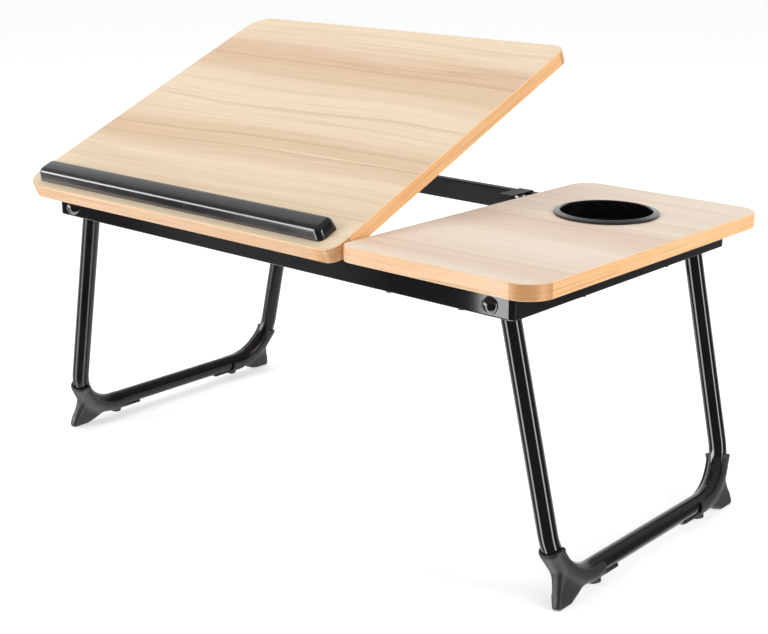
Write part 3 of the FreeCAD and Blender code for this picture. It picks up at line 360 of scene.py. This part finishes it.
paintLook = {
    "dark": tone(14, 11, 13), "light": tone(19, 16, 18), "dust": tone(52, 50, 50), "dustAmount": 0.04,
    "rough": 0.035, "roughMarks": 0.02, "shine": 0.5, "coat": 0.25, "coatRough": 0.03, "size": 40.0,
    "speckle": 900.0, "bump": 0.02, "bumpDepth": 0.0002,
}
dullLook = dict(paintLook, rough=0.24, shine=0.35, coat=0.0)
satinLook = dict(paintLook, rough=0.42, shine=0.13, coat=0.0)
cupLook = dict(paintLook, dark=tone(13, 12, 14), light=tone(20, 19, 22), rough=0.2, size=60.0,
               speckle=1400.0, coat=0.2)
barLook = dict(paintLook, dark=tone(24, 20, 22), light=tone(30, 26, 28), rough=0.22, roughMarks=0.0,
               dustAmount=0.0, coat=0.3, coatRough=0.12, size=50.0, speckle=2200.0, bump=0.06)
footLook = dict(paintLook, dark=tone(38, 36, 38), light=tone(46, 43, 46), dust=tone(84, 82, 80),
                dustAmount=0.10, rough=0.48, roughMarks=0.08, shine=0.4, coat=0.0, size=70.0,
                speckle=2600.0, bump=0.2)
smallLook = dict(footLook, dark=tone(34, 34, 36), light=tone(42, 42, 44))
rubberLook = dict(footLook, dark=tone(32, 32, 32), light=tone(40, 40, 40), rough=0.8, shine=0.25)


def makeZinc(name, look):
    material, tree, shader, where = startMaterial(name)
    wear = placeGroup(tree, surfaceWear, -700, 0, vector=where, size=look["size"], speckle=look["speckle"])
    uneven, grit, rubbed = wear.outputs
    cloudy = remap(tree, -400, 300, uneven, 0.3, 0.7)
    colour = blendColour(tree, -200, 300, cloudy, look["bright"], look["dull"])
    stained = calc(tree, "MULTIPLY", -200, 100, rubbed, look["stainDepth"])
    colour = blendColour(tree, 0, 300, stained, colour, look["stain"])
    feed(tree, colour, shader.inputs["Base Color"])
    shader.inputs["Metallic"].default_value = 1.0
    rough = remap(tree, -200, -100, uneven, 0.3, 0.7, look["rough"] - 0.08, look["rough"] + 0.1, False)
    feed(tree, rough, shader.inputs["Roughness"])
    bump = addNode(tree, "ShaderNodeBump", 500, -400)
    bump.inputs["Strength"].default_value = 0.1
    bump.inputs["Distance"].default_value = 0.0002
    feed(tree, grit, bump.inputs["Height"])
    feed(tree, bump.outputs[0], shader.inputs["Normal"])
    return material


zincLook = {
    "bright": tone(205, 206, 210), "dull": tone(176, 178, 184), "stain": tone(150, 146, 136),
    "stainDepth": 0.35, "rough": 0.3, "size": 180.0, "speckle": 2500.0,
}

finishes = {
    "largeTop": makeLaminate("laminateLargeTop", True, largeTopLook),
    "smallTop": makeLaminate("laminateSmallTop", False, smallTopLook),
    "largeBand": makeEdgeBand("edgeBandLargeTop", True, bandLook, "large"),
    "smallBand": makeEdgeBand("edgeBandSmallTop", False, bandLook, "small"),
    "paint": makeBlackFinish("glossyBlackPaint", paintLook),
    "dull": makeBlackFinish("dullBlackPaint", dullLook),
    "satin": makeBlackFinish("satinBlackPaint", satinLook),
    "cup": makeBlackFinish("glossyBlackPlastic", cupLook),
    "bar": makeBlackFinish("softGlossBlackPlastic", barLook),
    "foot": makeBlackFinish("darkGreyMouldedPlastic", footLook),
    "small": makeBlackFinish("blackMouldedPlastic", smallLook),
    "rubber": makeBlackFinish("padRubber", rubberLook),
    "zinc": makeZinc("zincPlate", zincLook),
}
print("materials made:", len(finishes))

finishOfSlot = {
    "board_laminate": "smallTop", "edge_band": "smallBand", "cup_plastic": "cup", "bar_plastic": "bar",
    "frame_paint": "paint", "pivot_caps": "paint", "foot_plastic": "foot", "small_plastic": "small",
    "pad_rubber": "rubber", "zinc_steel": "zinc",
}
finishOfNode = {
    "tilting_board": "largeTop", "tilting_board_edge_band": "largeBand", "back_rail": "satin",
    "middle_rail": "satin", "left_rack_strap": "satin", "right_rack_strap": "satin", "support_bail": "satin",
    "left_leg": "dull", "left_rail": "satin", "right_rail": "satin",
}

slotOfNode = {part["node"]: part["material_slot"] for part in frame["record"]["subparts"]}
for nodeName, node in nodes.items():
    finish = finishes[finishOfNode.get(nodeName, finishOfSlot[slotOfNode[nodeName]])]
    if not node.material_slots:
        node.data.materials.append(finish)
    for place in node.material_slots:
        place.material = finish
print("CAD nodes dressed")


# modelling helpers
def chooseOnly(piece):
    bpy.ops.object.select_all(action="DESELECT")
    piece.select_set(True)
    bpy.context.view_layer.objects.active = piece


def editStart(piece, kind):
    chooseOnly(piece)
    bpy.ops.object.mode_set(mode="EDIT")
    bpy.ops.mesh.select_mode(type=kind)
    bpy.ops.mesh.select_all(action="DESELECT")


def editEnd():
    bpy.ops.object.mode_set(mode="OBJECT")


def chooseFaces(piece, wanted):  # selects the faces that a test picks by centre and normal
    editEnd()
    for face in piece.data.polygons:
        face.select = wanted(face.center, face.normal)
    bpy.ops.object.mode_set(mode="EDIT")


def chooseEdges(piece, wanted):  # selects the edges that a test picks by their two ends
    editEnd()
    for part in (piece.data.polygons, piece.data.vertices):
        part.foreach_set("select", [False] * len(part))
    points = piece.data.vertices
    for edge in piece.data.edges:
        edge.select = wanted(points[edge.vertices[0]].co, points[edge.vertices[1]].co)
    bpy.ops.object.mode_set(mode="EDIT")


def choosePoints(piece, wanted):  # selects the vertices that a test picks by place
    editEnd()
    for point in piece.data.vertices:
        point.select = wanted(point.co)
    bpy.ops.object.mode_set(mode="EDIT")


def modify(piece, kind, **settings):
    chooseOnly(piece)
    modifier = piece.modifiers.new("step", kind)
    for name, value in settings.items():
        setattr(modifier, name, value)
    bpy.ops.object.modifier_apply(modifier=modifier.name)


def copyOfNode(nodeName, pieceName):  # a CAD mesh of its own, with its doubles merged
    piece = bpy.data.objects.new(pieceName, nodes[nodeName].data.copy())
    bpy.context.collection.objects.link(piece)
    editStart(piece, "VERT")
    bpy.ops.mesh.select_all(action="SELECT")
    bpy.ops.mesh.remove_doubles(threshold=0.000002)
    editEnd()
    return piece


def settle(piece):  # puts the piece's place, turn and size into its mesh
    chooseOnly(piece)
    bpy.ops.object.transform_apply(location=True, rotation=True, scale=True)


def rounded(piece, angle):
    chooseOnly(piece)
    bpy.ops.object.shade_smooth_by_angle(angle=radians(angle))


# stop bar: a hollow moulding with soft edges, on the tilting board
barShape = {
    "left": -0.2845, "right": 0.0875, "front": -0.0042, "depth": 0.0225, "height": 0.0115, "sunk": 0.0015,
    "wall": 0.0022, "frontSlope": 0.0018, "backSlope": 0.0010, "endSlope": 0.0020, "round": 0.0042,
    "endRound": 0.0056, "steps": 5,
}


def makeStopBar():
    look = barShape
    long, deep, high = look["right"] - look["left"], look["depth"], look["height"]
    low = boardSlope["thickness"] - look["sunk"]
    drafted = (1 - 2 * look["endSlope"] / long, 1 - (look["frontSlope"] + look["backSlope"]) / deep, 1)
    bpy.ops.object.select_all(action="DESELECT")
    bpy.ops.mesh.primitive_cube_add(size=1)
    bar = bpy.context.object
    bar.name = "stopBar"
    bar.scale = (long, deep, high)
    bar.location = ((look["left"] + look["right"]) / 2, look["front"] + deep / 2, low + high / 2)
    settle(bar)
    editStart(bar, "FACE")
    chooseFaces(bar, lambda centre, normal: normal.z > 0.9)
    bpy.ops.transform.resize(value=drafted)
    bpy.ops.transform.translate(value=(0, (look["frontSlope"] - look["backSlope"]) / 2, 0))
    bpy.ops.mesh.select_mode(type="EDGE")
    chooseEdges(bar, lambda first, second: abs(first.z - second.z) > high / 2)
    bpy.ops.mesh.bevel(offset=look["endRound"], segments=look["steps"], affect="EDGES")
    level = low + high - 0.0001
    chooseEdges(bar, lambda first, second: first.z > level and second.z > level)
    bpy.ops.mesh.bevel(offset=look["round"], segments=look["steps"], affect="EDGES")
    bpy.ops.mesh.select_mode(type="FACE")
    chooseFaces(bar, lambda centre, normal: normal.z < -0.9)
    bpy.ops.mesh.inset(thickness=look["wall"])  # hollow from below
    bpy.ops.mesh.extrude_region_move(TRANSFORM_OT_translate={"value": (0, 0, high - look["wall"])})
    bpy.ops.transform.resize(value=drafted)
    editEnd()
    bar.rotation_euler = (radians(boardSlope["tilt"]), 0, 0)
    bar.location = (0, boardSlope["hingeY"], boardSlope["hingeZ"])
    settle(bar)
    rounded(bar, 40)
    bar.data.materials.append(finishes["bar"])
    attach(bar, "tilting_board")
    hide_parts("stop_bar")


# feet: one moulding each, its fin flowing into the shell on the bend
footShape = {
    "pivotX": 0.2488, "pivotZ": 0.2393, "splay": 12.6, "lineY": -0.131352, "middleY": 0.001648,
    "bendY": 0.048215, "bendZ": -0.183810, "bendRadius": 0.045, "tube": 0.0080,
    "voxel": 0.0006, "softSteps": 5, "blendSteps": 240, "blendReach": 0.0250, "blendEnd": 0.0440,
}


def ease(low, high, value):
    part = min(1.0, max(0.0, (value - low) / (high - low)))
    return part * part * (3 - 2 * part)


def blendWeight(point, side, atBack):  # 1 where the fin meets the shell, 0 on the bore, the rims and the boss
    look = footShape
    turn = radians(look["splay"]) * side
    fromPivot = point.x - look["pivotX"] * side, point.z - look["pivotZ"]
    off = fromPivot[0] * cos(turn) + fromPivot[1] * sin(turn)
    up = fromPivot[1] * cos(turn) - fromPivot[0] * sin(turn)
    inward = 2 * look["middleY"] - point.y if atBack else point.y
    inward -= look["lineY"]
    alongBend = look["bendY"] - inward, look["bendZ"] - up
    if alongBend[0] > 0:
        outward = (alongBend[0] ** 2 + alongBend[1] ** 2) ** 0.5 - look["bendRadius"]
    else:
        outward = alongBend[1] - look["bendRadius"]
    apart = (outward ** 2 + off ** 2) ** 0.5
    wall = ease(look["tube"] + 0.0010, look["tube"] + 0.0019, apart)
    near = 1 - ease(look["blendReach"] - 0.005, look["blendReach"], apart)
    belowRim = ease(0.0, 0.002, outward) * ease(0.30, 0.42, alongBend[1] / look["bendRadius"])
    return wall * near * belowRim * (1 - ease(look["blendEnd"] - 0.006, look["blendEnd"], inward))


def makeFoot(nodeName, pieceName, body):
    look = footShape
    foot = copyOfNode(nodeName, pieceName)
    modify(foot, "REMESH", mode="VOXEL", voxel_size=look["voxel"])
    modify(foot, "SMOOTH", factor=0.5, iterations=look["softSteps"])
    group = foot.vertex_groups.new(name="blend")
    side = 1 if "right" in nodeName else -1
    for vertex in foot.data.vertices:
        weight = blendWeight(vertex.co, side, "back" in nodeName)
        if weight > 0.01:
            group.add([vertex.index], weight, "REPLACE")
    modify(foot, "SMOOTH", factor=0.5, iterations=look["blendSteps"], vertex_group="blend")
    chooseOnly(foot)
    bpy.ops.object.shade_smooth()
    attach(foot, body)
    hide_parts(nodeName)


# board screws: their heads sit low under the rails, with a cross recess
screwShape = {
    "railBottom": 0.2305, "headHigh": 0.0022, "headKept": 0.35,
    "recessArm": 0.0017, "recessWide": 0.0010, "recessDeep": 0.0012,
    "places": [(0.1464, -0.14835), (0.21936, -0.14835), (0.1464, 0.15165), (0.21936, 0.15165),
               (0.266, -0.05955), (0.266, 0.06285)],
}


def makeCrossCutter(look, level):  # one cross-shaped plug, copied to every screw and joined
    wide, arm = look["recessWide"], look["recessArm"]
    bpy.ops.object.select_all(action="DESELECT")
    bpy.ops.mesh.primitive_cube_add(size=1)
    cross = bpy.context.object
    cross.scale = (wide, wide, 2 * look["recessDeep"])
    settle(cross)
    for way in (Vector((1, 0, 0)), Vector((-1, 0, 0)), Vector((0, 1, 0)), Vector((0, -1, 0))):
        editStart(cross, "FACE")
        chooseFaces(cross, lambda centre, normal: normal.dot(way) > 0.9 and abs(centre.dot(way)) < wide)
        bpy.ops.mesh.extrude_region_move(TRANSFORM_OT_translate={"value": way * arm})
        editEnd()
    copies = []
    for x, y in look["places"]:
        copy = bpy.data.objects.new("crossCopy", cross.data.copy())
        bpy.context.collection.objects.link(copy)
        copy.location = (x, y, level)
        copies.append(copy)
    bpy.data.objects.remove(cross)
    chooseOnly(copies[0])
    for copy in copies:
        copy.select_set(True)
    bpy.ops.object.join()
    settle(copies[0])
    return copies[0]


def makeBoardScrews():
    look = screwShape
    screws = copyOfNode("long_board_screws", "blackBoardScrews")
    low = look["railBottom"]
    editStart(screws, "VERT")
    choosePoints(screws, lambda place: place.z < low - 0.00001)
    bpy.ops.transform.resize(value=(1, 1, look["headKept"]), center_override=(0, 0, low))
    editEnd()
    cutter = makeCrossCutter(look, low - look["headHigh"] * look["headKept"])
    modify(screws, "BOOLEAN", object=cutter, operation="DIFFERENCE", solver="EXACT")
    bpy.data.objects.remove(cutter)
    rounded(screws, 35)
    for place in range(len(screws.data.materials)):
        screws.data.materials[place] = finishes["satin"]
    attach(screws, "frame")
    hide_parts("long_board_screws")


# floor, light and camera
studioLook = {
    "cameraSide": 42.0, "floorHalfWidth": 12.0, "floorColour": tone(232, 232, 232), "floorLift": 0.5,
    "level": 0.56, "cameraSideShine": 0.13, "topShine": 0.38, "groundShine": 3.0,
}
boxLights = [  # what shiny surfaces see: turned to the right from the front, and the height as a sine
    {"turn": -27.5, "half": 10.4, "soft": 0.5, "low": -1.0, "high": 0.15, "fade": 0.25, "shine": 6.5},
    {"turn": -50.0, "half": 13.0, "soft": 8.0, "low": 0.0, "high": 0.24, "fade": 0.06, "shine": 10.0},
    {"turn": 94.0, "half": 4.0, "soft": 6.0, "low": -1.0, "high": 0.15, "fade": 0.25, "shine": 8.0},
    {"turn": -47.0, "half": 2.0, "soft": 4.0, "low": -1.0, "high": 0.0, "fade": 0.10, "shine": 0.25},
    {"turn": -125.0, "half": 6.0, "soft": 18.0, "low": 0.45, "high": 0.90, "fade": 0.10, "shine": 0.5},
]


def backdropMask(tree, where):  # 1 on the side away from the camera, 0 on the camera's side
    angle = radians(studioLook["cameraSide"])
    away = addNode(tree, "ShaderNodeVectorMath", -1000, 500, operation="DOT_PRODUCT")
    flat = addNode(tree, "ShaderNodeVectorMath", -1300, 500, operation="MULTIPLY")
    flat.inputs[1].default_value = (1, 1, 0)
    short = addNode(tree, "ShaderNodeVectorMath", -1150, 500, operation="NORMALIZE")
    feed(tree, where, flat.inputs[0])
    feed(tree, flat.outputs[0], short.inputs[0])
    feed(tree, short.outputs[0], away.inputs[0])
    away.inputs[1].default_value = (-sin(angle), cos(angle), 0)
    return remap(tree, -800, 500, away.outputs["Value"], 0.15, 0.6)


def makeFloor():
    bpy.ops.mesh.primitive_plane_add(size=2 * studioLook["floorHalfWidth"], location=(0, 0, -0.0005))
    floor = bpy.context.object
    floor.name = "studioFloor"
    material, tree, shader, where = startMaterial("studioFloorPaper")
    shader.inputs["Base Color"].default_value = studioLook["floorColour"]
    shader.inputs["Roughness"].default_value = 0.9
    shader.inputs["Specular IOR Level"].default_value = 0.1
    path = addNode(tree, "ShaderNodeLightPath", 300, 600)
    seen = calc(tree, "MAXIMUM", 500, 600, path.outputs["Is Camera Ray"], path.outputs["Is Glossy Ray"])
    seen = calc(tree, "MAXIMUM", 650, 600, seen, path.outputs["Is Transmission Ray"])
    shader.inputs["Emission Color"].default_value = (1, 1, 1, 1)
    lift = calc(tree, "MULTIPLY", 800, 600, seen, studioLook["floorLift"])
    feed(tree, lift, shader.inputs["Emission Strength"])
    nearSide = calc(tree, "SUBTRACT", -600, 500, 1.0, backdropMask(tree, where))
    clear = addNode(tree, "ShaderNodeBsdfTransparent", 900, 300)
    mix = addNode(tree, "ShaderNodeMixShader", 1050, 100)
    feed(tree, calc(tree, "MULTIPLY", 700, 300, nearSide, path.outputs["Is Glossy Ray"]), mix.inputs[0])
    tree.links.new(shader.outputs[0], mix.inputs[1])
    tree.links.new(clear.outputs[0], mix.inputs[2])
    tree.links.new(mix.outputs[0], tree.nodes["Material Output"].inputs[0])
    floor.data.materials.append(material)


def makeWorld():  # even light; shiny surfaces see a white backdrop, a dark near side and the box lights
    world = bpy.data.worlds.new("studio")
    bpy.context.scene.world = world
    world.use_nodes = True
    tree = world.node_tree
    tree.nodes.clear()
    output = addNode(tree, "ShaderNodeOutputWorld", 1200, 0)
    light = addNode(tree, "ShaderNodeBackground", 1000, 0)
    where = addNode(tree, "ShaderNodeTexCoord", -1500, 0).outputs["Generated"]
    path = addNode(tree, "ShaderNodeLightPath", 200, 500)
    split = addNode(tree, "ShaderNodeSeparateXYZ", -1200, 0)
    feed(tree, where, split.inputs[0])
    height = split.outputs[2]
    frontward = calc(tree, "MULTIPLY", -1050, -100, split.outputs[1], -1.0)
    turn = calc(tree, "ARCTAN2", -900, -100, split.outputs[0], frontward)
    lower = remap(tree, -800, 700, height, 0.35, 0.62, 1.0, 0.0)
    backdrop = calc(tree, "MULTIPLY", -650, 600, backdropMask(tree, where), lower)
    shine = remap(tree, -500, 500, backdrop, 0.0, 1.0, studioLook["cameraSideShine"], 1.0, False)
    top = remap(tree, -500, 200, height, 0.25, 0.6, 0.0, studioLook["topShine"])
    shine = calc(tree, "MAXIMUM", -200, 400, shine, top)
    ground = remap(tree, -500, -500, height, -0.70, -0.92, 0.0, studioLook["groundShine"])
    shine = calc(tree, "MAXIMUM", -100, 300, shine, ground)
    for box in boxLights:
        aside = calc(tree, "SUBTRACT", -700, -100, turn, radians(box["turn"]))
        aside = calc(tree, "ABSOLUTE", -500, -100, aside)
        half, outer = radians(box["half"]), radians(box["half"] + box["soft"])
        strip = remap(tree, -300, -100, aside, half, outer, box["shine"], 0.0)
        above = remap(tree, -300, -300, height, box["low"] - box["fade"], box["low"])
        below = remap(tree, -300, -450, height, box["high"], box["high"] + box["fade"], 1.0, 0.0)
        level = calc(tree, "MULTIPLY", -150, -300, above, below)
        shine = calc(tree, "MULTIPLY_ADD", 0, 0, strip, level, shine)
    plain = calc(tree, "MAXIMUM", 400, 500, path.outputs["Is Camera Ray"],
                 path.outputs["Is Transmission Ray"])
    strength = remap(tree, 550, 500, plain, 0.0, 1.0, studioLook["level"], 1.0, False)
    pick = addNode(tree, "ShaderNodeMix", 750, 300, data_type="FLOAT")
    feed(tree, path.outputs["Is Glossy Ray"], pick.inputs[0])
    feed(tree, strength, pick.inputs[2])
    feed(tree, shine, pick.inputs[3])
    light.inputs["Color"].default_value = (1, 1, 1, 1)
    feed(tree, pick.outputs[0], light.inputs["Strength"])
    tree.links.new(light.outputs[0], output.inputs[0])


lamps = {
    "overhead": {"at": (-0.3, 0.5, 2.2), "aim": (0.0, 0.0, 0.3), "size": (2.2, 1.6), "watts": 15.0},
    "frontLeftStrip": {"at": (-1.1, -1.9, 0.8), "aim": (0.0, 0.0, 0.2), "size": (0.45, 1.8), "watts": 20.0},
    "rightStrip": {"at": (2.1, 0.2, 0.7), "aim": (0.0, 0.0, 0.2), "size": (0.4, 1.7), "watts": 20.0},
}


def makeLamp(name, look):
    lamp = bpy.data.lights.new(name, "AREA")
    lamp.shape = "RECTANGLE"
    lamp.size, lamp.size_y = look["size"]
    lamp.energy = look["watts"]
    holder = bpy.data.objects.new(name, lamp)
    bpy.context.collection.objects.link(holder)
    holder.visible_glossy = False  # what shines is in the world
    holder.location = look["at"]
    direction = Vector(look["aim"]) - Vector(look["at"])
    holder.rotation_euler = direction.to_track_quat("-Z", "Y").to_euler()


cameraLook = {  # found from the photograph's board edges, rails and legs
    "at": (0.88081, -0.969846, 0.540421), "turn": (73.796019, -0.638739, 39.137442),
    "lens": 1461.449 / 768 * 36, "shiftX": (384 - 460.193) / 768, "shiftY": (303.643 - 317) / 768,
}


def makeCamera():
    lensData = bpy.data.cameras.new("photoCamera")
    lensData.sensor_width = 36
    lensData.sensor_fit = "HORIZONTAL"
    lensData.lens = cameraLook["lens"]
    lensData.shift_x = cameraLook["shiftX"]
    lensData.shift_y = cameraLook["shiftY"]
    lensData.clip_start = 0.01
    lensData.clip_end = 100
    camera = bpy.data.objects.new("photoCamera", lensData)
    bpy.context.collection.objects.link(camera)
    camera.location = cameraLook["at"]
    camera.rotation_euler = [radians(angle) for angle in cameraLook["turn"]]
    bpy.context.scene.camera = camera


makeStopBar()
print("stop bar made")
for place in ("front_left", "back_left", "front_right", "back_right"):
    words = place.split("_")
    makeFoot(place + "_foot", words[0] + words[1].capitalize() + "Foot", words[1] + "_leg")
print("feet made")
makeBoardScrews()
makeFloor()
makeWorld()
for lampName, lampLook in lamps.items():
    makeLamp(lampName, lampLook)
makeCamera()
bpy.context.scene.view_settings.view_transform = "Standard"
print("studio ready")
